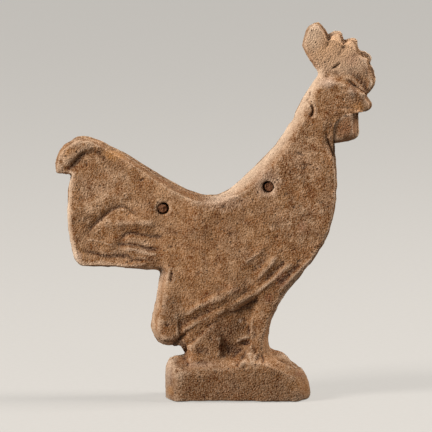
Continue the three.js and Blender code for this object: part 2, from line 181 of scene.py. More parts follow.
def soften(piece, rounds):
    """Smooths the facets away, less on the comb, and closes the joint face again."""
    soft = bmesh.new()
    soft.from_mesh(piece.data)
    hidden = [f for f in soft.faces if in_joint(f)]
    bmesh.ops.delete(soft, geom=hidden, context="FACES")
    free = [v for v in soft.verts if not v.is_boundary]
    for i in range(rounds):
        if i == CRISP_ROUNDS:
            free = [v for v in free if v.co.z < COMB_FOOT]
        bmesh.ops.smooth_vert(soft, verts=free, factor=0.5, **ALL_AXES)
    closed = close_openings(soft)
    bmesh.ops.triangulate(soft, faces=closed)
    soft.to_mesh(piece.data)
    soft.free()
    piece.data.shade_smooth()
    print(piece.name, len(piece.data.polygons), "faces after", rounds, "rounds")


HALF_CELL, HALF_ROUNDS = 0.45 * MM, 16
halves = []
for name, side in SIDES.items():
    half = remeshed(outer_skin(f"{name}_half", side), f"{name}_half_clay", HALF_CELL)
    soften(half, HALF_ROUNDS)
    halves.append(half)

# %% [markdown]
# ## Drawing on the clay
# Feathers, creases and cracks are drawn as lines on a flat drawing of the right side, in millimetres
# across and up, with a height and a width each. A point of the clay finds its place on that drawing
# along the line of sight, which leans a little because the drawing was taken from above. The left half
# mirrors it, and leans towards the beak as its solid does. Each line then raises or lowers the clay
# along its normals.

# %% Drawing plane
DRAWING_MIDDLE = (0.59, 73.22)  # mm: the place on the drawing that the camera aims at
PLINTH_MIDDLE = 9.2  # mm: the left half leans about this place
LEFT_LEAN = math.radians(0.4)
LONG_EDGE = 1.5  # mm: longer ones lie in the joint face
TURN_FADE = 1.4  # how fast a line fades where the clay turns away from the drawing


class Skin:
    """The points of a piece in millimetres, with what is drawn on them."""

    def __init__(self, piece, side):
        self.mesh = piece.data
        self.side = side
        self.points = np.array([v.co for v in self.mesh.vertices]) / MM
        edges = np.array([e.vertices[:] for e in self.mesh.edges])
        spans = np.diff(self.points[edges], axis=1)[:, 0]
        self.edges = edges[np.linalg.norm(spans, axis=1) < LONG_EDGE]
        self.normals = np.zeros_like(self.points)
        self.rise = np.zeros(len(self.points))
        self.settle()

    def settle(self):
        """Moves the points by what was drawn, and finds their normals and places on the drawing."""
        self.points += self.normals * self.rise[:, None]
        self.points[:, 2] = np.maximum(self.points[:, 2], 0.0)  # it stands flat
        self.rise[:] = 0.0
        self.mesh.vertices.foreach_set("co", (self.points * MM).ravel())
        self.mesh.update()
        self.normals = np.array([n.vector for n in self.mesh.vertex_normals])
        self.facing = np.clip(TURN_FADE * self.side * self.normals[:, 1], 0.0, 1.0)
        x, y, z = self.points.T
        if self.side > 0:
            run = x - PLINTH_MIDDLE
            x, z = x - z * math.sin(LEFT_LEAN), z + run * math.sin(LEFT_LEAN)
        across = x - CAMERA_AIM.x / MM
        up = (z - CAMERA_AIM.z / MM) * math.cos(CAMERA_ELEVATION) - abs(y) * math.sin(CAMERA_ELEVATION)
        self.drawing = np.column_stack((across, up)) + DRAWING_MIDDLE

    def keep(self, name, values):
        """Stores a value for each point, for the materials."""
        layer = self.mesh.attributes.new(name, "FLOAT", "POINT")
        layer.data.foreach_set("value", np.clip(values, 0.0, 1.0))


skins = [Skin(half, side) for half, side in zip(halves, SIDES.values())]


# %% Lines
def smooth_path(points, steps=5):
    """A curve through the points of a line."""
    knots = [np.array(point) for point in points]
    ends = [2 * knots[0] - knots[1], *knots, 2 * knots[-1] - knots[-2]]
    path = []
    for a, b, c, d in zip(ends, ends[1:], ends[2:], ends[3:]):
        for t in np.linspace(0, 1, steps, endpoint=False):
            bend = 2 * a - 5 * b + 4 * c - d + t * (3 * (b - c) + d - a)
            path.append(b + 0.5 * t * (c - a + t * bend))
    return np.array([*path, points[-1]])


def nearest(path, spots):
    """How far each spot is from a path, its share of the way along, and whether it lies to the left."""
    distance = np.full(len(spots), np.inf)
    share = np.zeros(len(spots))
    left = np.zeros(len(spots), dtype=bool)
    for i, (a, b) in enumerate(zip(path, path[1:])):
        run = b - a
        t = np.clip((spots - a) @ run / max(run @ run, 1e-9), 0, 1)
        off = spots - a - t[:, None] * run
        away = np.hypot(*off.T)
        closer = away < distance
        distance[closer] = away[closer]
        share[closer] = (i + t[closer]) / (len(path) - 1)
        left[closer] = (run[0] * off[:, 1] - run[1] * off[:, 0] > 0)[closer]
    return distance, share, left


LINE_FADE = 0.18  # share of a line over which each end fades
LINE_END = 0.25  # share of its height that is left at the ends
LINE_REACH = 3  # widths to which it is felt


def draw(lines, round_the_side=False):
    """Draws lines of (height, width to the left, width to the right, points) on both halves.

    They fade where the clay turns away from the drawing, unless they go round the side.
    """
    for height, to_left, to_right, points in lines.values():
        path = smooth_path(points)
        reach = LINE_REACH * max(to_left, to_right)
        low, high = path.min(0) - reach, path.max(0) + reach
        for skin in skins:
            near = np.all((skin.drawing > low) & (skin.drawing < high), axis=1)
            distance, share, left = nearest(path, skin.drawing[near])
            fade = np.clip(np.minimum(share, 1 - share) / LINE_FADE, LINE_END, 1)
            profile = np.exp(-((distance / np.where(left, to_left, to_right)) ** 2))
            turned = skin.side * skin.normals[near, 1]
            shown = np.clip(1 + TURN_FADE * turned, 0, 1) if round_the_side else skin.facing[near]
            skin.rise[near] += height * fade * profile * shown
    print(len(lines), "lines:", ", ".join(lines))


# %% [markdown]
# ### Outline and smears
# The facets of the solid and the smoothing took a little off the scallops of the comb and off the
# corner of the tail, and left the toes too high, so the rim is pulled back to its outline there. Where
# two forms meet, under the wing, above the legs and at the wattle, the maker smeared clay into the
# joint: the clay is lifted there to a level that falls off to the sides.

# %% Outline and smears
PULLS = {  # mm: how far across and up, width, and path in the plane of the joint
    "toes": (-0.4, -0.9, 4, [(26, 17), (29.5, 16.6), (32.5, 14.8)]),
    "corner of the tail": (-1, -1.2, 3, [(-53, 57), (-51.5, 55)]),
    "back of the comb": (-0.9, 0.4, 3, [(36, 139.5), (36.8, 143), (38.6, 146)]),
    "second lobe": (-0.8, 1.2, 1.6, [(46.5, 142.5), (48, 143.5)]),
    "third lobe": (-0.8, 1, 1.6, [(52.3, 139.6), (53.8, 140.6)]),
    "fourth lobe": (0.5, 0.6, 1.6, [(59.2, 137), (60.6, 135.6)]),
    "notch in front": (-0.8, 0, 1, [(61, 132.8), (61.8, 132.6)]),
    "front of the comb": (1, 0, 2.4, [(62.3, 129), (62.3, 125.5)]),
}
SMEARS = {  # mm: places on the drawing with the depth of the clay there
    "under the wing": [
        (-13, 24.4, 8.5), (-10, 26.2, 11.8), (-7.5, 28.2, 12.3),
        (-5, 30.3, 12.4), (-2.5, 32, 12.7), (0.5, 33.8, 13),
    ],
    "above the rear leg": [
        (-11, 24, 11.2), (-9, 25, 11.9), (-6.5, 26.8, 12.2),
        (-4.2, 28.7, 12.4), (-2, 30.3, 12.5),
    ],
    "above the front leg": [
        (7, 38.6, 14.2), (9.5, 40.2, 14.5), (12, 41.8, 14.8),
        (14.5, 43, 15.1), (17, 44, 15.4),
    ],
    "at the wattle": [
        (47.4, 102, 9.6), (46.2, 104.8, 11.2), (45.9, 107.4, 11.4), (46.3, 109.8, 11.5),
        (47.8, 112.6, 11), (51.5, 113.6, 10.1), (54, 113.9, 9.4),
    ],
}
SMEAR_FALL = 0.025  # mm at a distance of 1 mm, growing with its fourth power: flat, then steep


def pulled(points):
    """How far each point is pulled in the plane of the joint, over the whole depth of the figure."""
    moves = np.zeros_like(points)
    for across, up, width, path in PULLS.values():
        share = np.exp(-((nearest(smooth_path(path), points[:, [0, 2]])[0] / width) ** 2))
        moves += share[:, None] * (across, 0.0, up)
    return moves


def smear(skin, places):
    """Lifts the clay along a path to the levels given for it."""
    path = smooth_path([place[:2] for place in places])
    distance, share, _ = nearest(path, skin.drawing)
    levels = np.interp(share, np.linspace(0, 1, len(places)), [place[2] for place in places])
    depth = skin.side * skin.points[:, 1]
    skin.points[:, 1] = skin.side * np.maximum(depth, levels - SMEAR_FALL * distance**4)


for skin in skins:
    skin.points += pulled(skin.points)
    skin.settle()
    for places in SMEARS.values():
        smear(skin, places)
    skin.settle()
    print(skin.mesh.name, "pulled at", len(PULLS), "places, smeared along", len(SMEARS))

# %% [markdown]
# ### Edges
# The moulds met in an almost upright edge. The facets of the solid leave a broader rounding, so the
# rounded band is drawn together towards the rim, except at the nape, at the thigh and at the plinth,
# where the clay was wiped round with a wet finger.

# %% Edges
EDGE_BEFORE, EDGE_AFTER, EDGE_FADE = 3.4, 1.2, 2.6  # mm
NAPE_RIM = [(40.2, 129.1), (35.9, 122.5), (30.6, 112.7), (25.1, 103.2), (16.4, 93.8), (11, 88.6)]
THIGH_RIM = [(-16.8, 21.8), (-21.8, 22.8), (-24.8, 27.5), (-25, 32.9), (-23.5, 39), (-21.7, 51.5)]
PLINTH_RIM = [(-19.5, 0), (-19.5, 14), (-10, 18), (15, 20), (33, 14), (37, 2)]
SOFT_REACH = 5.0  # mm around these rims that keep their rounding
FRONT_FROM, FRONT_FADE = 36.0, 4.0  # mm: from here on breast, throat and comb are sharper still
SHIFT_ROUNDS = 6  # of averaging, so that the band moves as one


def smoothed(skin, values, rounds):
    """The values averaged over neighbours, a number of times."""
    a, b = skin.edges.T
    count = np.bincount(skin.edges.ravel(), minlength=len(values))[:, None]
    for _ in range(rounds):
        total = np.zeros_like(values)
        for k in range(values.shape[1]):
            total[:, k] = np.bincount(a, values[b, k], len(values))
            total[:, k] += np.bincount(b, values[a, k], len(values))
        values = (values + total / np.maximum(count, 1)) / 2
    return values


def draw_edge_together(skin, share):
    """Moves the rounded band outwards to the rim, in the plane of the joint, by a share of the way."""
    rim = skin.points[abs(skin.points[:, 1]) < (JOINT_FACE + FACE_SLACK) / MM]
    tree = KDTree(len(rim))
    for i, (x, _, z) in enumerate(rim):
        tree.insert((x, 0.0, z), i)
    tree.balance()
    outwards = np.array([tree.find((x, 0.0, z))[0] for x, _, z in skin.points]) - skin.points
    outwards[:, 1] = 0.0
    distance = np.linalg.norm(outwards, axis=1)
    beyond = np.exp(-(((distance - EDGE_BEFORE) / EDGE_FADE) ** 2))
    band = np.where(distance < EDGE_BEFORE, distance / EDGE_BEFORE, beyond)
    shift = (EDGE_BEFORE - EDGE_AFTER) * band * share
    for soft in (NAPE_RIM, THIGH_RIM, PLINTH_RIM):
        shift *= np.clip(nearest(smooth_path(soft), skin.drawing)[0] / SOFT_REACH - 1, 0, 1)
    moves = outwards * (shift / np.maximum(distance, 0.01))[:, None]
    skin.points += smoothed(skin, moves, SHIFT_ROUNDS)


for skin in skins:
    draw_edge_together(skin, 1.0)
    skin.settle()
    draw_edge_together(skin, np.clip((skin.drawing[:, 0] - FRONT_FROM) / FRONT_FADE, 0, 1))
    skin.settle()
    print(skin.mesh.name, "edges drawn together")

# %% [markdown]
# ### Tail feathers
# The tail is a flat fan. A crescent sets off the curl at its top, an arched feather crosses it, and low
# feathers with sharp lower edges run back to the body.

# %% Tail feathers
draw({
    "notch under the curl": (-0.2, 0.8, 1.2, [
        (-60.6, 91.8), (-57.4, 92.2), (-54.7, 94.1), (-53.1, 96.5),
    ]),
    "curl": (1.2, 4, 1.3, [(-59.5, 92.8), (-57, 95.3), (-54, 97.9), (-50.5, 99.8), (-46.5, 100.3)]),
    "crescent": (-0.2, 1, 1.6, [
        (-53.9, 95.7), (-51.5, 98.5), (-48.6, 99.1), (-46.4, 98.5), (-43.6, 96.1), (-41.2, 93.4),
    ]),
    "arched feather": (0.6, 4, 2.4, [
        (-51.5, 69.2), (-50, 71.2), (-46.8, 73.9), (-43.6, 76.7), (-40.2, 78.9), (-36.3, 79.6),
        (-32.3, 78.2),
    ]),
    "under the arched feather": (-0.1, 0.5, 0.8, [
        (-49.9, 67.3), (-48.4, 69.3), (-45.2, 72), (-42, 74.8), (-38.9, 76.8), (-35.3, 77.2),
        (-31.8, 75.6),
    ]),
    "below the arched feather": (0.7, 0.5, 3.5, [
        (-48.6, 66.4), (-47.3, 68.4), (-44.3, 71), (-41.2, 73.7), (-38.4, 75.5), (-35.6, 75.8),
        (-33, 74.4),
    ]),
    "second feather": (0.5, 2.6, 1.8, [
        (-40.5, 69.1), (-35.7, 70.6), (-31, 71), (-26.2, 70.6), (-22.3, 69.8),
    ]),
    "hooked feather": (-0.5, 0.55, 1.2, [
        (-36.9, 63.4), (-36.1, 65.1), (-34.5, 66.3), (-31.8, 66.5), (-27.4, 65.7), (-22.3, 65.3),
        (-19.5, 65.9),
    ]),
    "fourth feather": (-0.5, 0.5, 1, [
        (-38.9, 62.2), (-35.3, 62.2), (-30.6, 61.8), (-25.7, 60.6), (-21.5, 60.4),
    ]),
    "last feather": (0.45, 1, 1, [(-37.3, 60.2), (-31.4, 59.8), (-25.5, 58.4), (-20.7, 58)]),
    "under the last feather": (-0.6, 0.5, 1, [
        (-51.5, 59.6), (-46.8, 58.6), (-42.8, 57.4), (-36.9, 57.8), (-34.1, 57.6), (-32.2, 56.2),
        (-27.4, 55.7), (-21.5, 55.3),
    ]),
    "thin quill": (0.3, 0.7, 0.5, [(-51.1, 63.9), (-46, 63.4), (-42, 62.2), (-39.3, 61.6)]),
})

# %% [markdown]
# ### Thigh and wing
# Two long wing feathers sweep from the thigh towards the breast, with deep grooves between them. The
# thigh is set off by a thin lip.

# %% Thigh and wing
draw({
    "slit under the tail": (-0.8, 0.7, 0.7, [(-17, 51.5), (-17, 49.5), (-17.6, 46.8)]),
    "edge of the slit": (0.3, 0.6, 0.6, [(-18.6, 51.5), (-18.6, 48.4), (-19.1, 45.2)]),
    "lip of the thigh": (0.4, 0.5, 0.6, [
        (-14.9, 33), (-14.6, 29.8), (-14.6, 27), (-14.3, 25.5), (-15.2, 22.3),
    ]),
    "beside the lip": (-0.15, 0.8, 1, [(-13.3, 31.8), (-13.1, 28.6), (-12.8, 25.5)]),
    "upper wing feather": (0.45, 2.4, 1.2, [
        (-14.6, 33.4), (-10.1, 35.3), (-6.5, 37.5), (-3, 38.9), (-0.4, 39.7), (3.4, 41.1), (8.3, 44.4),
        (11.2, 45.8),
    ]),
    "above the upper wing feather": (-0.3, 1.6, 1.2, [
        (-12, 36.5), (-7.7, 38.5), (-2.2, 42.2), (3.4, 44.4), (7.3, 46.2),
    ]),
    "between the wing feathers": (-0.4, 1.1, 1.4, [
        (-14.4, 29.8), (-10.1, 31.8), (-5.3, 34.1), (-0.4, 36.1), (3.8, 38.1), (7.7, 40.5),
    ]),
    "lower wing feather": (0.4, 1.8, 1.1, [
        (-14.2, 26.8), (-10.9, 28.6), (-6.9, 30.8), (-2.2, 32.6), (0.8, 34.5), (3.8, 36.1), (6.9, 38.1),
        (11.2, 40.5), (15.6, 43.2),
    ]),
})

# %% [markdown]
# ### Breast feathers
# Short feathers run up the breast in the same direction, each with a soft groove behind it.

# %% Breast feathers
draw({
    "short feather": (0.4, 1.6, 0.8, [(11.5, 54.2), (13.9, 56.1), (17.5, 58.6), (20.8, 61.4)]),
    "first feather": (0.4, 1.5, 0.7, [(16.4, 48), (19.2, 50.8), (22.2, 53.9), (24.8, 58.3)]),
    "behind the first feather": (-0.3, 1.2, 1.2, [(14.4, 50.8), (17.4, 53.4), (20.4, 56.9)]),
    "second feather": (0.45, 1.4, 0.7, [
        (16.9, 43), (20.8, 46.4), (24.8, 49.7), (28.1, 52.5), (31.4, 54.8),
    ]),
    "behind the second feather": (-0.35, 1.2, 1.2, [
        (18.8, 46.6), (22.3, 49.9), (25.5, 52.9), (28.2, 55.7),
    ]),
    "third feather": (0.4, 1.6, 0.9, [
        (8.5, 38.8), (12.5, 41), (16.5, 43.3), (20.2, 45.7), (23.8, 48.1),
    ]),
    "rim feather": (0.6, 1.1, 0.6, [
        (24.8, 43.6), (28.1, 46.4), (31.4, 49.7), (34.2, 52.5), (37, 55.3), (40.3, 58.1),
    ]),
    "behind the rim feather": (-0.35, 1, 1, [(24.6, 45.8), (28, 48.8), (31, 51.9), (34, 55)]),
    "slit at the edge": (-0.5, 0.5, 0.5, [(34.9, 50.7), (38.1, 54.1), (41.2, 57.8)]),
})

# %% [markdown]
# ### Legs
# The legs are two shallow columns with a web of clay between them, thumbed in while it was soft.

# %% Legs
draw({
    "hollow behind the front leg": (-0.2, 1.8, 1.4, [(13.6, 38.5), (13.6, 34.5), (13.2, 31)]),
    "arris of the front leg": (0.4, 0.7, 0.8, [(15, 34.5), (14.6, 29), (15, 23.1)]),
    "crack beside it": (-0.5, 0.5, 0.5, [(13.5, 30.2), (13.5, 26.2)]),
    "spur": (0.7, 0.9, 0.7, [(8.1, 23.3), (11.6, 25.1), (14.4, 25.5)]),
    "under the spur": (-0.6, 1, 1, [(10.1, 22.7), (12.4, 23.1), (14.4, 23.3)]),
    "arris of the rear leg": (1, 1.6, 1.4, [(1.4, 26.6), (1.6, 21.9), (1, 16)]),
    "thumbed hollow": (-0.5, 2.2, 2.2, [(-7.7, 19.9), (-4.5, 20.3), (-1.8, 20.3)]),
    "deep hollow": (-0.8, 2.4, 2.4, [(4.1, 20.3), (7.3, 20.7), (9.7, 18.4)]),
    "back edge of the rear leg": (0.8, 0.9, 0.9, [(-10.1, 21.9), (-10.3, 18.8), (-10.1, 15.2)]),
})

# %% [markdown]
# ### Plinth and toes
# The front foot ends in a ball on the plinth, and its toes lie over the end of it with a crease between
# them. The toes go round the side of the figure, so their lines don't fade where the clay turns away.

# %% Plinth and toes
draw({
    "dent at the heel": (-0.8, 0.9, 0.9, [(-15.6, 12.8), (-14.4, 12)]),
    "gap at the heel": (-0.6, 0.5, 0.5, [(-16.8, 16.8), (-14, 17.2), (-10.9, 17.2)]),
    "heel of the front foot": (1, 1.8, 0.9, [
        (9, 13.6), (11.4, 15.7), (13.8, 17.6), (14.6, 20.6), (14.4, 24),
    ]),
    "facet of the heel": (-0.4, 2.2, 2.2, [(16.6, 18.6), (18.6, 17)]),
    "ball of the front foot": (1.3, 1.8, 1.8, [(13, 16.6), (15, 17.4), (16.6, 16.8)]),
    "beside the ball": (-0.7, 0.8, 0.8, [(18.4, 19.4), (19.4, 17.4), (18.8, 15.4)]),
    "behind the heel": (-0.9, 0.9, 0.9, [(8, 13.9), (10.3, 16.3), (12.2, 18.8)]),
    "edge of the toe": (0.4, 0.8, 0.6, [(34.5, 10.7), (36.2, 8.2), (36.6, 5)]),
})
draw({
    "first toe": (0.7, 0.9, 0.9, [(22.7, 18.2), (27.9, 17.2), (31.8, 14.9)]),
    "crease between the toes": (-1.4, 0.6, 0.6, [
        (25.4, 16.4), (27.9, 15.8), (30.5, 14.4), (33.4, 12.9),
    ]),
    "second toe": (0.7, 0.9, 1.2, [(22.6, 16.6), (26.6, 14.7), (29.8, 12.9), (34.6, 10.4)]),
}, round_the_side=True)

# %% [markdown]
# ### Neck
# Two cracks cross the nape behind the head, and there are scratches lower down.

# %% Neck
draw({
    "lower crack": (-1.3, 0.45, 0.6, [(37.4, 118), (38.8, 115.6), (38.6, 113.4), (37.6, 112)]),
    "upper crack": (-2.5, 0.5, 0.5, [(37, 123), (36.8, 120.7), (35.5, 118.4)]),
    "scratch": (-0.3, 0.45, 0.45, [(31.8, 98.5), (33.8, 97.6), (35.7, 96.5)]),
    "fine crack": (-0.35, 0.45, 0.45, [(34.5, 93.8), (36.5, 93.2), (38.9, 93.4)]),
})

# %% [markdown]
# ### Head and comb
# The brow, the notches of the comb and the crease behind the wattle were cut with a tool.

# %% Head and comb
draw({
    "brow": (0.7, 0.6, 1.6, [(60.2, 119.4), (58.6, 121.8), (56.3, 124.9), (52.7, 127.3), (48, 127.3)]),
    "pitted arc under the brow": (-0.5, 0.8, 0.8, [
        (49.8, 126.3), (53.9, 124.5), (55.5, 122.2), (56.2, 119.6),
    ]),
    "behind the brow": (-0.4, 0.6, 0.6, [(55.5, 127.9), (58.4, 124.9), (60.2, 122), (61.4, 119.8)]),
    "nick in the comb": (-0.8, 0.4, 0.4, [(46.4, 131.2), (48, 132.2), (49.9, 133.8)]),
    "first notch of the comb": (-0.4, 0.8, 0.8, [(45.6, 142.7), (44.8, 140.9), (44.2, 139.7)]),
    "second notch of the comb": (-0.4, 0.8, 0.8, [(51.5, 141.1), (51, 139.7), (50.3, 138.4)]),
    "third notch of the comb": (-0.3, 0.8, 0.8, [(56.2, 138), (55.6, 136.6), (54.9, 135.6)]),
    "step in the comb": (-0.5, 0.6, 0.6, [
        (56.8, 139.1), (58.3, 136.3), (60.4, 133.6), (60.6, 130.3), (60.3, 127.8),
    ]),
    "crease at the wattle": (-0.4, 0.7, 0.6, [
        (47.2, 112.9), (46, 109.7), (45.7, 107.4), (46, 105), (47.6, 102.8),
    ]),
})

# %% [markdown]
# ### Pits and wear
# Fired clay that lay in the ground is never smooth: it swells and dips a little over a centimetre, is
# lumpy over a few millimetres, and has pits where grains fell out and chips along its rim. Noise of
# three sizes moves the points, and noise above a limit makes the pits and the chips.

# %% Worn surface
SWELLS = [(15.0, 0.35), (5.0, 0.2), (1.8, 0.1)]  # size and height in mm
PIT_SIZE, PIT_DEPTH, PIT_LIMIT, PIT_MOST = 2.6, 0.9, 0.42, 0.3  # mm, then of the noise
CHIP_SIZE, CHIP_DEPTH, CHIP_REACH, CHIP_LIMIT, CHIP_MOST = 6.0, 1.6, 3.0, 0.12, 0.4
SIDE_OFFSET = Vector((0.0, 40.0, 0.0))  # the two halves have different noise
PIT_OFFSET = Vector((7, 7, 7))  # and the pits have their own
RIM_LEFT_ALONE = JOINT_FACE / MM + 0.2  # mm from the middle


def noise_over(points, size, offset):
    """Smooth noise of one size at each point, about -1 to 1."""
    return np.array([noise.noise(Vector(p) / size + offset) for p in points])


def chips(points):
    """How deep the rim is chipped at each point, the same on both sides of the joint."""
    flat = points * (1.0, 0.0, 1.0)
    return CHIP_DEPTH * np.clip(noise_over(flat, CHIP_SIZE, Vector()) - CHIP_LIMIT, 0, CHIP_MOST)


def swell(skin, offset):
    """Raises lumps of all sizes outside the rim, and says which points that takes in."""
    outer = skin.side * skin.points[:, 1] > RIM_LEFT_ALONE
    for size, height in SWELLS:
        skin.rise += height * outer * noise_over(skin.points, size, offset)
    return outer


for skin in skins:
    offset = SIDE_OFFSET * skin.side
    skin.rise -= chips(skin.points) * np.exp(-((skin.points[:, 1] / CHIP_REACH) ** 2))
    outer = swell(skin, offset)
    pits = noise_over(skin.points, PIT_SIZE, offset + PIT_OFFSET)
    skin.rise -= PIT_DEPTH * outer * np.clip(pits - PIT_LIMIT, 0, PIT_MOST)
    skin.settle()
    print(skin.mesh.name, "pitted at", int((pits > PIT_LIMIT).sum()), "points")

# %% [markdown]
# ### What the surface remembers
# Edges wear pale, and hollows hold dark soil and are darkened further as painted shade. Both follow
# from
# the shape: points that lie outside the smoothed surface are on an edge, points that lie inside it are
# in a hollow. Both are stored on the points, for the materials, as is the pale rim along the joint,
# which is wear and a painted highlight along the outline.

# %% Edges and hollows
SHAPES = [(8, 0.12), (60, 0.7)]  # fine and broad: rounds of smoothing, mm away at full strength
HOLLOW_SHADE_SHARES, EDGE_SHARES = (0.6, 0.7), (0.5, 0.7)  # of the fine and the broad shape
RIM_HIGHLIGHT_REACH = 2.4  # mm from the joint over which the rim is worn pale and painted with a highlight


def remember_shape(skin):
    """Stores where a skin is hollow, where it has an edge and where its rim is."""
    depths = []
    for rounds, scale in SHAPES:
        away = smoothed(skin, skin.points, rounds) - skin.points
        depths.append((away * skin.normals).sum(1) / scale)
    # The hollow layer darkens concave places as soil and as painted shade.
    skin.keep("hollow", np.dot(HOLLOW_SHADE_SHARES, depths))
    skin.keep("edge", -np.dot(EDGE_SHARES, depths))
    # The rim layer paints a pale line along the outline: wear at the joint, and painted highlight.
    skin.keep("rim", np.exp(-((abs(skin.points[:, 1]) / RIM_HIGHLIGHT_REACH) ** 2)))
    print(skin.mesh.name, "deepest hollow", round(scale * depths[-1].max(), 2), "mm")


for skin in skins:
    remember_shape(skin)

# %% [markdown]
# ### Stains
# Iron in the clay bloomed as ochre, and soil and smoke darkened some places. Traces of red paint and
# white lime are left, and handling rubbed the high places and the rims to pale dust. The soot patches
# are partly grey deposits and partly painted shade, and the pale bands on the rims are partly painted
# highlight. Noise would scatter them anywhere, so each patch has its place from the drawing: its
# middle, its half width and height, and a strength.

# %% Ochre, and soot with painted shade
STAINS = {}
STAINS["ochre"] = {
    "top of the tail": (-39.3, 97.3, 5.9, 2.8, 0.75),
    "curl": (-57.2, 98.3, 4.4, 3.9, 0.45),
    "heel": (-17.6, 4.5, 1.6, 2.4, 0.75),
    "toes": (33, 6.5, 3.9, 3.6, 0.6),
    "edge of the toes": (36.1, 5.3, 1.6, 4.7, 0.6),
    "comb": (49, 139, 13, 8.5, 0.75),
    "beak": (57.6, 116.2, 3.6, 1.8, 0.7),
    "corner of the tail": (-52.5, 58, 2, 3, 0.6),
}
# Soot: grey deposits, and painted shade where shade falls: on and between the legs, the thigh, the
# slit, the cheek by the wattle, the brow, the lower breast, under the curl, and darker towards the foot
# of the plinth.
STAINS["soot_and_shade"] = {
    "wing": (-3.4, 36.5, 2, 2, 0.6),
    "slit": (-16.8, 48.8, 1.6, 2.8, 0.6),
    "rear leg": (-4.9, 20.3, 3.9, 2.4, 0.6),
    "between the legs": (7.3, 19.9, 3.2, 3.2, 0.5),
    "legs": (5, 26, 16, 8, 0.55),
    "cheek": (45.6, 114.3, 3.2, 3.9, 0.4),
    "thigh": (-16.8, 36, 6, 12, 0.55),
    "brow": (54.6, 122.4, 1.8, 4, 0.55),
    "plinth": (9, 4, 60, 13, 0.6),
    "lower breast": (26, 49, 9, 10, 0.35),
    "tip of the tail": (-56, 92.6, 4.5, 1.6, 0.25),
}

# %% Paint and lime
STAINS["pigment"] = {
    "breast": (26.6, 48.4, 3.2, 3.9, 0.7),
    "under the breast": (21.1, 41.2, 2.4, 2.4, 0.6),
    "side of the breast": (34.5, 69.3, 2.4, 3.2, 0.5),
    "wing": (8.9, 44, 2.8, 1.6, 0.45),
    "comb": (54.3, 134.8, 4.7, 3.9, 0.45),
    "wattle": (51.5, 107.5, 4, 4.4, 0.4),
    "toe": (33.4, 10.9, 2.8, 1.2, 0.5),
}
STAINS["chalk"] = {
    "corner of the tail": (-53.4, 57.4, 1.8, 2.4, 0.7),
    "last feather": (-28.6, 59.6, 8.7, 1.4, 0.3),
    "spot on the leg": (10.1, 31.9, 0.8, 0.8, 1),
    "heel": (-18, 10.9, 1.8, 5.5, 0.6),
    "top of the plinth": (-5.7, 14.8, 8.7, 1.6, 0.45),
    "saddle": (2.9, 78.5, 12.3, 4.2, 0.5),
    "shoulder": (20.8, 86.6, 7.3, 7.7, 0.5),
    "eye": (53.9, 122.2, 2.8, 4.3, 0.4),
    "top of the head": (44.2, 125.6, 4.2, 2.6, 0.75),
    "thigh": (-19.9, 49.5, 2, 3.2, 0.4),
    "comb": (50, 137, 9, 6, 0.35),
}

# %% Dust and painted highlight
# Pale dust; on the comb and its first lobe it is painted highlight, as they face the light.
DUST_AND_HIGHLIGHT_PATCHES = {
    "neck and shoulder": (34, 96, 17, 20, 0.28),
    "head": (48, 121, 14, 12, 0.22),
    "comb": (51, 138, 14, 10, 0.9),
    "first lobe": (40, 142, 4.5, 6.5, 0.9),
    "tail": (-44, 82, 15, 20, 0.28),
    "breast": (34, 70, 16, 18, 0.25),
}
# Pale wear along rims, and painted highlight where the light catches them: the nape, the rims of the
# thigh and the tail, the top of the tail, the edges of the breast and the comb, and the end of the
# plinth.
DUST_AND_HIGHLIGHT_BANDS = {  # width, strength and path
    "nape": (4, 0.9, [*NAPE_RIM, (6, 84.1), (1, 82)]),
    "thigh": (2.2, 0.6, THIGH_RIM),
    "back of the tail": (1.6, 1, [
        (-54.3, 56.4), (-57.4, 63.6), (-58.3, 72.6), (-58.1, 81), (-57.7, 86), (-56.8, 89.6),
    ]),
    "top of the tail": (0.9, 0.5, [
        (-63.2, 94), (-61.5, 99.7), (-57.2, 103), (-53.5, 104.6), (-48.5, 103.7), (-40, 100.4),
        (-28.2, 93.3), (-16.8, 86.2), (-7.4, 82.2), (-1, 81.5), (6, 84.1),
    ]),
    "under the tail": (1.4, 0.5, [(-53, 55.6), (-50.5, 54), (-44, 54.6), (-37.3, 53.2), (-22, 52)]),
    "breast": (0.9, 0.6, [
        (47, 100.9), (47.2, 96.3), (47.9, 87.5), (47.3, 77.5), (44.5, 66.1), (36.9, 53.3),
        (28.7, 43.7), (24.6, 36.5), (22.9, 30), (22.6, 24.5),
    ]),
    "comb": (1.4, 1, [
        (59.6, 138.3), (62, 134.8), (62.2, 133), (63.4, 130.1), (63, 126.9), (61.8, 123.8),
    ]),
    "heel of the plinth": (3, 0.6, [(-19.5, 2), (-19.5, 8), (-19, 13), (-17, 16.6)]),
}

# %% Laying the stains on
PATCH_FALL = 2.5  # power with which a patch fades: an even middle and a soft edge


def stain(skin, patches):
    """How strongly patches of (across, up, half width, half height, strength) cover each point."""
    cover = np.zeros(len(skin.points))
    for across, up, wide, high, strength in patches.values():
        reach = np.hypot((skin.drawing[:, 0] - across) / wide, (skin.drawing[:, 1] - up) / high)
        cover = np.maximum(cover, strength * np.exp(-(reach**PATCH_FALL)))
    return cover


def worn_and_highlight_bands(skin, bands):
    """How strongly bands of (width, strength, points) cover each point, fading to both sides."""
    cover = np.zeros(len(skin.points))
    for width, strength, points in bands.values():
        distance = nearest(smooth_path(points), skin.drawing)[0]
        cover = np.maximum(cover, strength * np.exp(-((distance / width) ** 2)))
    return cover


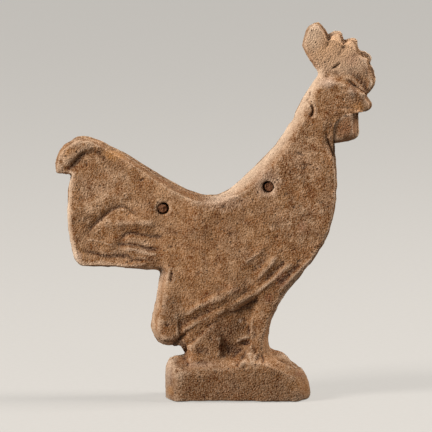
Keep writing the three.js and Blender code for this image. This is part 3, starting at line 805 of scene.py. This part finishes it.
def remember_stains(skin):
    """Stores what lies on a skin: dust and stains, with painted highlight and painted shade among them.
    """
    # The dust layer is pale dust and painted highlight.
    skin.keep("dust", np.maximum(worn_and_highlight_bands(skin, DUST_AND_HIGHLIGHT_BANDS), stain(skin, DUST_AND_HIGHLIGHT_PATCHES)))
    for layer, patches in STAINS.items():
        skin.keep(layer, stain(skin, patches))
    print(skin.mesh.name, "stained with dust and", ", ".join(STAINS))


for skin in skins:
    remember_stains(skin)

# %% [markdown]
# ## Wattles
# Each wattle is a soft pad that was pressed on under the beak with a thumb, and its upper edge was
# smeared up onto the cheek. It is made like the halves: even cells, smoothed. Then it is swollen a
# little, most at its upper edge, so that it runs under the clay smeared over from the cheek, and a
# little noise is added.

# %% Wattles
WATTLE_CELL, WATTLE_ROUNDS = 0.3 * MM, 12
PAD_SMEAR, PAD_LIFT = 0.8, 0.8  # mm: at the upper edge and over the whole face
SMEAR_TOWARDS = np.array((-0.5, 0.0, 0.87))  # up and back, to the cheek

wattles = []
for name, side in SIDES.items():
    wattle = remeshed(merged_copy(f"{name}_wattle"), f"{name}_wattle_pad", WATTLE_CELL)
    soften(wattle, WATTLE_ROUNDS)
    wattles.append(wattle)
    skin = Skin(wattle, side)
    upper_edge = np.clip(skin.normals @ SMEAR_TOWARDS, 0.0, 1.0)
    skin.rise = PAD_SMEAR * upper_edge + PAD_LIFT * skin.facing
    skin.settle()
    swell(skin, Vector())
    skin.settle()
    remember_shape(skin)
    remember_stains(skin)

# %% [markdown]
# ## Slip
# Between the halves lies a layer of slip. Only its edge shows, as a thin uneven line all round. Its
# outer wall is cut into short lengths with a ridge along the middle, and the ridge is pushed out and in
# by noise.

# %% Slip
BEAD_STEP, BEAD_SIZE = 1.2 * MM, 3 * MM
BEAD_SWELL, BEAD_BASE = 0.25 * MM, 0.6  # the base is a share of the swell
slip_shell = merged_copy("slip_seam")
for step in (2 * BEAD_STEP, BEAD_STEP):
    wall = {e for f in slip_shell.faces if abs(f.normal.y) < 0.5 for e in f.edges}
    bmesh.ops.subdivide_edges(slip_shell, edges=[e for e in wall if e.calc_length() > step], cuts=1)
across = [e for e in slip_shell.edges if abs((e.verts[0].co - e.verts[1].co).y) > JOINT_FACE]
bmesh.ops.subdivide_edges(slip_shell, edges=across, cuts=1, use_grid_fill=True)
slip_shell.normal_update()
slip_points = np.array([v.co for v in slip_shell.verts]) / MM
pulls = pulled(slip_points) * MM
for v, pull, chip in zip(slip_shell.verts, pulls, chips(slip_points) * MM):
    flat = Vector((v.normal.x, 0.0, v.normal.z)).normalized()
    on_ridge = abs(v.co.y) < JOINT_FACE / 2
    bead = BEAD_SWELL * (BEAD_BASE + noise.noise(v.co / BEAD_SIZE)) if on_ridge else 0.0
    v.co += Vector(pull) + flat * (bead - chip)
    v.co.z = max(v.co.z, 0.0)  # it stands flat
bmesh.ops.triangulate(slip_shell, faces=[f for f in slip_shell.faces if len(f.verts) > 4])
slip = piece_from(slip_shell, "slip_line")
slip.data.shade_smooth()
print("slip", len(slip.data.polygons), "faces")

# %% [markdown]
# ## Pins
# The iron pins rusted in their holes and swelled there, while their ends crumbled. What shows is a
# lumpy stub, thinner than its hole and a little to one side of it. Each is a rod cut across along its
# length, whose end faces are inset ring by ring. The ends are drawn in, pushed aside and roughened by
# noise.

# %% Pins
PIN_SIDES, PIN_CUTS, CAP_RINGS = 40, 60, 6
END_SHARE, END_LENGTH = 0.9, 2.5 * MM  # of the radius is left at the ends, over this length
RUST_LUMP, RUST_SIZE, RUST_LOSS = 0.5 * MM, 1.3 * MM, 0.3  # the loss is a share of the lumps
RUST_OCTAVES = 0.7, 2.0, 3  # roughness, step in size and number
TURN_TO_Y = Vector((0, 0, 1)).rotation_difference(Vector((0, 1, 0))).to_matrix()


def rusted_pin(node, name, aside):
    """A pin in the box of its solid, whose ends lie to one side of the hole."""
    low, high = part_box(node)
    middle = (low + high) / 2
    radius = (high.x - low.x) / 2
    rod = bmesh.new()
    bmesh.ops.create_cone(
        rod, cap_ends=True, segments=PIN_SIDES, radius1=radius, radius2=radius, depth=high.y - low.y
    )
    bmesh.ops.rotate(rod, verts=rod.verts, matrix=TURN_TO_Y)
    bmesh.ops.translate(rod, verts=rod.verts, vec=middle)
    along = [e for e in rod.edges if abs((e.verts[0].co - e.verts[1].co).y) > MM]
    bmesh.ops.subdivide_edges(rod, edges=along, cuts=PIN_CUTS)
    for _ in range(CAP_RINGS):
        caps = [f for f in rod.faces if len(f.verts) == PIN_SIDES]
        bmesh.ops.inset_region(rod, faces=caps, thickness=radius / (CAP_RINGS + 1), depth=0.0)
    for v in rod.verts:
        to_end = min(v.co.y - low.y, high.y - v.co.y)
        end = max(0.0, 1 - to_end / END_LENGTH)
        lump = RUST_LUMP * (noise.fractal(v.co / RUST_SIZE, *RUST_OCTAVES) - RUST_LOSS)
        spread = Vector((v.co.x - middle.x, 0.0, v.co.z - middle.z))
        v.co += aside * end - spread * (1 - END_SHARE) * end + v.normal * lump * end
    bmesh.ops.triangulate(rod, faces=[f for f in rod.faces if len(f.verts) > 4])
    pin = piece_from(rod, name)
    pin.data.shade_smooth()
    return pin


PIN_ASIDE = {"shoulder_pin": (0.3, 0, 0.3), "tail_pin": (-0.3, 0, 0.3)}  # mm
pins = [rusted_pin(node, f"{node}_iron", Vector(aside) * MM) for node, aside in PIN_ASIDE.items()]
print("pins", [len(pin.data.polygons) for pin in pins], "faces")

# %% [markdown]
# ## Materials
# Colours are written as sRGB hex values, as they look in a picture, and one function turns them to the
# linear values that the shader needs. One small function adds a node with its settings and links.

# %% Nodes
def linear(code):
    """The linear colour of an sRGB hex value."""
    parts = [int(code[i : i + 2], 16) / 255 for i in (1, 3, 5)]
    return [c / 12.92 if c <= 0.04045 else ((c + 0.055) / 1.055) ** 2.4 for c in parts] + [1.0]


def add(tree, kind, sockets=None, **settings):
    """Adds a shader node; a socket takes a value or a link, from an output or a node's first one."""
    node = tree.nodes.new("ShaderNode" + kind)
    for name, value in settings.items():
        setattr(node, name, value)
    for name, value in (sockets or {}).items():
        value = value.outputs[0] if isinstance(value, bpy.types.Node) else value
        if isinstance(value, bpy.types.NodeSocket):
            tree.links.new(value, node.inputs[name])
        else:
            node.inputs[name].default_value = value
    return node


def new_material(name):
    """A material with an empty tree."""
    material = bpy.data.materials.new(name)
    material.use_nodes = True
    material.node_tree.nodes.clear()
    return material, material.node_tree


def shade(tree, sockets):
    """Adds the shader with its values and links, and the output."""
    shader = add(tree, "BsdfPrincipled", sockets)
    add(tree, "OutputMaterial", {"Surface": shader})


def laid_over(tree, colour, code, layer, limits, most):
    """A colour with another laid over it where a layer goes from its lower to its upper limit."""
    sockets = {"Value": layer, "From Min": limits[0], "From Max": limits[1], "To Max": most}
    cover = add(tree, "MapRange", sockets)
    return add(tree, "Mix", {0: cover, 6: colour, 7: linear(code)}, data_type="RGBA").outputs[2]


# %% [markdown]
# ### Fired clay
# Mould-pressed terracotta is buff clay with fine sand in it, fired hard and dull. The eye sees soft
# mottling over some millimetres and broad clouds from the firing. A picture wrapped round the figure
# would stretch on its rims, so noise in the clay makes both: two sizes of it add up to a tone between
# soil brown and pale dust, with warmer and ashen patches over it.

# %% Tones of the clay
MOTTLE_MM, CLOUD_MM = 3.6, 24.0
MOTTLE_SHARE, CLOUD_SHARE = 0.9, 0.5
OCTAVES = {"Detail": 3.0, "Roughness": 0.6}
PATCHES = [("#9a6238", 7.0, 0.25), ("#857260", 9.0, 0.2)]  # warm and ashen, size in mm, most of it
PATCH_LIMITS = 0.48, 0.66  # of the noise


def clay_tones(tree, place, mottle, tones):
    """The colour of clean clay, whose tones go from dark to pale."""
    cloud = add(tree, "TexNoise", {"Vector": place, "Scale": 1 / (CLOUD_MM * MM), **OCTAVES})
    tone = 0.5 - 0.5 * (MOTTLE_SHARE + CLOUD_SHARE)
    for pattern, share in ((mottle, MOTTLE_SHARE), (cloud, CLOUD_SHARE)):
        tone = add(tree, "Math", {0: pattern, 1: share, 2: tone}, operation="MULTIPLY_ADD")
    colour = add(tree, "ValToRGB", {"Fac": tone})
    stops = colour.color_ramp.elements
    stops[0].color = linear(tones[0])
    stops[1].color = linear(tones[-1])
    for i, code in enumerate(tones[1:-1], 1):
        stops.new(i / (len(tones) - 1)).color = linear(code)
    for code, size, most in PATCHES:
        patch = add(tree, "TexNoise", {"Vector": place, "Scale": 1 / (size * MM), "Detail": 4.0})
        colour = laid_over(tree, colour, code, patch, PATCH_LIMITS, most)
    return colour


# %% [markdown]
# The edges of the real clay are rubbed pale, its hollows hold soil, and stains lie over both, where the
# layers on the points say. The pale layers also paint highlight on rims, and the dark ones paint shade
# in hollows and sheltered places. A smooth edge would look sprayed on, so grain and mottling are added
# to each layer before it is cut off.

# %% Wear and stains, with painted highlight and shade
DUST_AND_HIGHLIGHT, OCHRE, RED, SOIL_AND_SHADE, LIME = "#dcbd9f", "#b57f4b", "#7d4630", "#4a3222", "#c2a58f"
# edge is pale wear; rim and dust are pale wear with painted highlight; soot and hollow are soil with
# painted shade
COVERS = [  # stored layer, colour, most of it
    ("edge", DUST_AND_HIGHLIGHT, 0.4),
    ("rim", DUST_AND_HIGHLIGHT, 0.8),
    ("dust", DUST_AND_HIGHLIGHT, 1.0),
    ("ochre", OCHRE, 0.9),
    ("pigment", RED, 0.8),
    ("chalk", LIME, 0.8),
    ("soot_and_shade", SOIL_AND_SHADE, 0.8),
    ("hollow", SOIL_AND_SHADE, 0.8),
]
COVER_LIMITS = 0.2, 1.0  # of a layer
BREAK_BY_GRAIN, BREAK_BY_MOTTLE = 0.3, 0.5


def covered(tree, colour, grain, mottle):
    """The colour of the clay under its wear and stains, with painted highlight and painted shade."""
    broken = -0.5 * (BREAK_BY_GRAIN + BREAK_BY_MOTTLE)
    for pattern, share in ((grain, BREAK_BY_GRAIN), (mottle, BREAK_BY_MOTTLE)):
        broken = add(tree, "Math", {0: pattern, 1: share, 2: broken}, operation="MULTIPLY_ADD")
    for name, code, most in COVERS:
        stored = add(tree, "Attribute", attribute_name=name).outputs["Fac"]
        layer = add(tree, "Math", {0: stored, 1: broken}, operation="ADD")
        colour = laid_over(tree, colour, code, layer, COVER_LIMITS, most)
    return colour


# %% [markdown]
# Silt and sand give a fine grain, with pits where grains fell out, darkened in colour as soil and as
# painted shade. The grain is drawn coarser than real silt, so that it shows at this size, and the
# relief has nothing finer either, because that would only darken the clay.

# %% Grain and pits
GRAIN_MM, GRAIN_LIGHT, GRAIN_TINT, DARKEST = 0.55, 0.85, "#ffdab6", "#1c0f06"
PIT_MM, PIT_RADIUS, PIT_RIM = 2.2, 0.1, 0.22  # cell size, and the radii as shares of it
PITTED_FROM, PITTED_FULL, PIT_SHADE = 0.45, 0.6, 0.9  # of the mottling, and how dark the pits are painted, as soil and shade


def grained(tree, colour, grain):
    """The colour, lighter and darker by the grain, and never quite black."""
    grains = add(tree, "Math", {0: grain, 1: -0.5}, operation="ADD")
    sockets = {0: grains, 1: [GRAIN_LIGHT * c for c in linear(GRAIN_TINT)[:3]], 2: colour}
    colour = add(tree, "VectorMath", sockets, operation="MULTIPLY_ADD")
    return add(tree, "VectorMath", {0: colour, 1: linear(DARKEST)[:3]}, operation="MAXIMUM")


def sand_pits(tree, place, mottle):
    """How deep a place lies in a pit that a grain of sand left."""
    cells = add(tree, "TexVoronoi", {"Vector": place, "Scale": 1 / (PIT_MM * MM)})
    pit = add(tree, "MapRange", {"Value": cells, "From Min": PIT_RIM, "From Max": PIT_RADIUS})
    limits = {"Value": mottle, "From Min": PITTED_FROM, "From Max": PITTED_FULL, "To Max": PIT_SHADE}
    some = add(tree, "MapRange", limits)
    return add(tree, "Math", {0: pit, 1: some}, operation="MULTIPLY")


# %% Fired clay
RELIEF, LUMP_MM = 0.5 * MM, 0.6  # height and size of the grains that stand out
LUMP_DETAIL = 0.5  # hardly any finer octaves
PIT_SHARE = 0.6  # of the relief
DULL = {"Roughness": 0.93, "Specular IOR Level": 0.2}


def fired_clay(name, tones):
    """Clay whose tones go from dark to pale, worn, stained and gritty, with painted highlight and
    shade.
    """
    material, tree = new_material(name)
    place = add(tree, "TexCoord").outputs["Object"]
    grain = add(tree, "TexNoise", {"Vector": place, "Scale": 1 / (GRAIN_MM * MM), **OCTAVES})
    mottle = add(tree, "TexNoise", {"Vector": place, "Scale": 1 / (MOTTLE_MM * MM), **OCTAVES})
    colour = clay_tones(tree, place, mottle, tones)
    colour = covered(tree, colour, grain, mottle)
    colour = grained(tree, colour, grain)
    pit = sand_pits(tree, place, mottle)
    # The pits are darkened in colour as soil and painted shade.
    colour = add(tree, "Mix", {0: pit, 6: colour, 7: linear(SOIL_AND_SHADE)}, data_type="RGBA").outputs[2]
    lumps = add(tree, "TexNoise", {"Vector": place, "Scale": 1 / (LUMP_MM * MM), "Detail": LUMP_DETAIL})
    relief = add(tree, "Math", {0: pit, 1: -PIT_SHARE, 2: lumps}, operation="MULTIPLY_ADD")
    bump = add(tree, "Bump", {"Height": relief, "Distance": RELIEF})
    shade(tree, {"Base Color": colour, "Normal": bump, **DULL})
    return material


terracotta = fired_clay("fired_terracotta", ["#442510", "#6d4627", "#8f6745", "#b28965", "#d6b18f"])
wattle_clay = fired_clay("reddened_terracotta", ["#3f2414", "#684429", "#8e6443", "#b18764", "#d2ab8b"])
slip_clay = fired_clay("dried_slip", ["#4a2f1c", "#74533a", "#9a7656", "#b8936f", "#d8b793"])
print("clays:", terracotta.name, wattle_clay.name, slip_clay.name)

# %% [markdown]
# ### Rusted iron
# Iron that rusted through is no longer a metal to the eye: it is a dull crust, dark brown to red-brown,
# with orange dust in its pits. So it is shaded as a rough mineral, with noise of two sizes.

# %% Rusted iron
RUST_MM, CRUST_MM = 0.7, 1.8  # size of the specks of dust and of the clouds in the crust
DUST_LIMITS = 0.35, 0.65  # of the noise
RUST_RELIEF, RUST_STRENGTH, RUST_ROUGHNESS = 0.4 * MM, 0.8, 0.85
RUST, RUST_CLOUD, RUST_DUST = "#452510", "#623818", "#94613a"


def rusted_iron(name):
    """A crust of rust with paler dust on it."""
    material, tree = new_material(name)
    place = add(tree, "TexCoord").outputs["Object"]
    crust = add(tree, "TexNoise", {"Vector": place, "Scale": 1 / (CRUST_MM * MM), "Detail": 3.0})
    dust = add(tree, "TexNoise", {"Vector": place, "Scale": 1 / (RUST_MM * MM), "Detail": 3.0})
    ramp = add(tree, "ValToRGB", {"Fac": dust})
    for stop, position, code in zip(ramp.color_ramp.elements, DUST_LIMITS, (RUST, RUST_DUST)):
        stop.position = position
        stop.color = linear(code)
    colour = add(tree, "Mix", {0: crust, 6: ramp, 7: linear(RUST_CLOUD)}, data_type="RGBA").outputs[2]
    bump = add(tree, "Bump", {"Height": dust, "Distance": RUST_RELIEF, "Strength": RUST_STRENGTH})
    shade(tree, {"Base Color": colour, "Normal": bump, "Roughness": RUST_ROUGHNESS})
    return material


iron = rusted_iron("rusted_iron")
print("iron:", iron.name)

# %% [markdown]
# ## Assembly
# Each piece takes its material, stands for its solid, and rides on the one rigid body.

# %% Assembly
pieces = [
    (halves[0], "right_half", "terracotta", terracotta),
    (halves[1], "left_half", "terracotta", terracotta),
    (slip, "slip_seam", "slip", slip_clay),
    (wattles[0], "right_wattle", "wattle_clay", wattle_clay),
    (wattles[1], "left_wattle", "wattle_clay", wattle_clay),
    (pins[0], "shoulder_pin", "iron", iron),
    (pins[1], "tail_pin", "iron", iron),
]
for piece, node, slot, material in pieces:
    piece.data.materials.clear()
    piece.data.materials.append(material)
    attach(piece, "root")
    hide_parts(node)
    print(piece.name, "for", node)

# %% [markdown]
# ## Studio
# The figure stands on a wide pale sheet of paper. A soft key light rakes it from the upper left, which
# is what brings out the relief in the photograph, a weak light from the front fills the rest, and one
# from behind on the right draws a bright edge along the breast and the comb. Only the rays that show
# the surroundings find the sheet and the world pale. To the rays that light the figure both are dim.

# %% Paper
SHEET_HALF = 8.0  # so wide that the camera sees nothing past it
PAPER_TOOTH = 2.5  # mm
PAPER_GLOW = 0.7  # what the camera sees of the sheet is lifted to an even pale grey
PAPER_TONES, PAPER_DIM, PAPER_ROUGHNESS = ("#d2cec7", "#dad6d0"), "#6f6a64", 0.95


def seen_rays(tree):
    """One for the rays that show the surroundings, nought for the rays that only light the figure."""
    rays = add(tree, "LightPath").outputs
    seen = rays["Is Camera Ray"]
    for other in ("Is Glossy Ray", "Is Transmission Ray"):
        seen = add(tree, "Math", {0: seen, 1: rays[other]}, operation="MAXIMUM")
    return seen


sheet = bmesh.new()
bmesh.ops.create_grid(sheet, x_segments=1, y_segments=1, size=SHEET_HALF)
floor = piece_from(sheet, "paper_sheet")
paper, tree = new_material("matte_paper")
place = add(tree, "TexCoord").outputs["Object"]
tooth = add(tree, "TexNoise", {"Vector": place, "Scale": 1 / (PAPER_TOOTH * MM)})
sockets = {0: tooth, 6: linear(PAPER_TONES[0]), 7: linear(PAPER_TONES[1])}
pale = add(tree, "Mix", sockets, data_type="RGBA").outputs[2]
glow = add(tree, "Math", {0: seen_rays(tree), 1: PAPER_GLOW}, operation="MULTIPLY")
sockets = {"Emission Color": pale, "Emission Strength": glow}
shade(tree, {"Base Color": linear(PAPER_DIM), "Roughness": PAPER_ROUGHNESS, **sockets})
floor.data.materials.append(paper)
print("floor:", floor.name, 2 * SHEET_HALF, "m wide")

# %% Lights
LIGHTS = {  # place in m, size in m and power in W
    "key": ((-1.45, -0.95, 0.95), 0.6, 50.5),
    "fill": ((0.2, -2.0, 0.8), 1.2, 3.5),
    "edge": ((1.1, 0.1, 1.2), 0.6, 26.0),
}
WORLD_GREY, AMBIENT, BACKDROP = "#b8b8b8", 0.12, 0.9  # strength for the light, and added for the eye

for name, (place, size, power) in LIGHTS.items():
    lamp = bpy.data.lights.new(name, "AREA")
    lamp.size = size
    lamp.energy = power
    light = bpy.data.objects.new(name, lamp)
    light.location = place
    light.rotation_euler = (CAMERA_AIM - Vector(place)).to_track_quat("-Z", "Y").to_euler()
    scene.collection.objects.link(light)
    print(name, "light,", power, "W")

world = bpy.data.worlds.new("studio")
scene.world = world
world.use_nodes = True
tree = world.node_tree
background = tree.nodes["Background"]
background.inputs["Color"].default_value = linear(WORLD_GREY)
strength = add(tree, "Math", {0: seen_rays(tree), 1: BACKDROP, 2: AMBIENT}, operation="MULTIPLY_ADD")
tree.links.new(strength.outputs[0], background.inputs["Strength"])
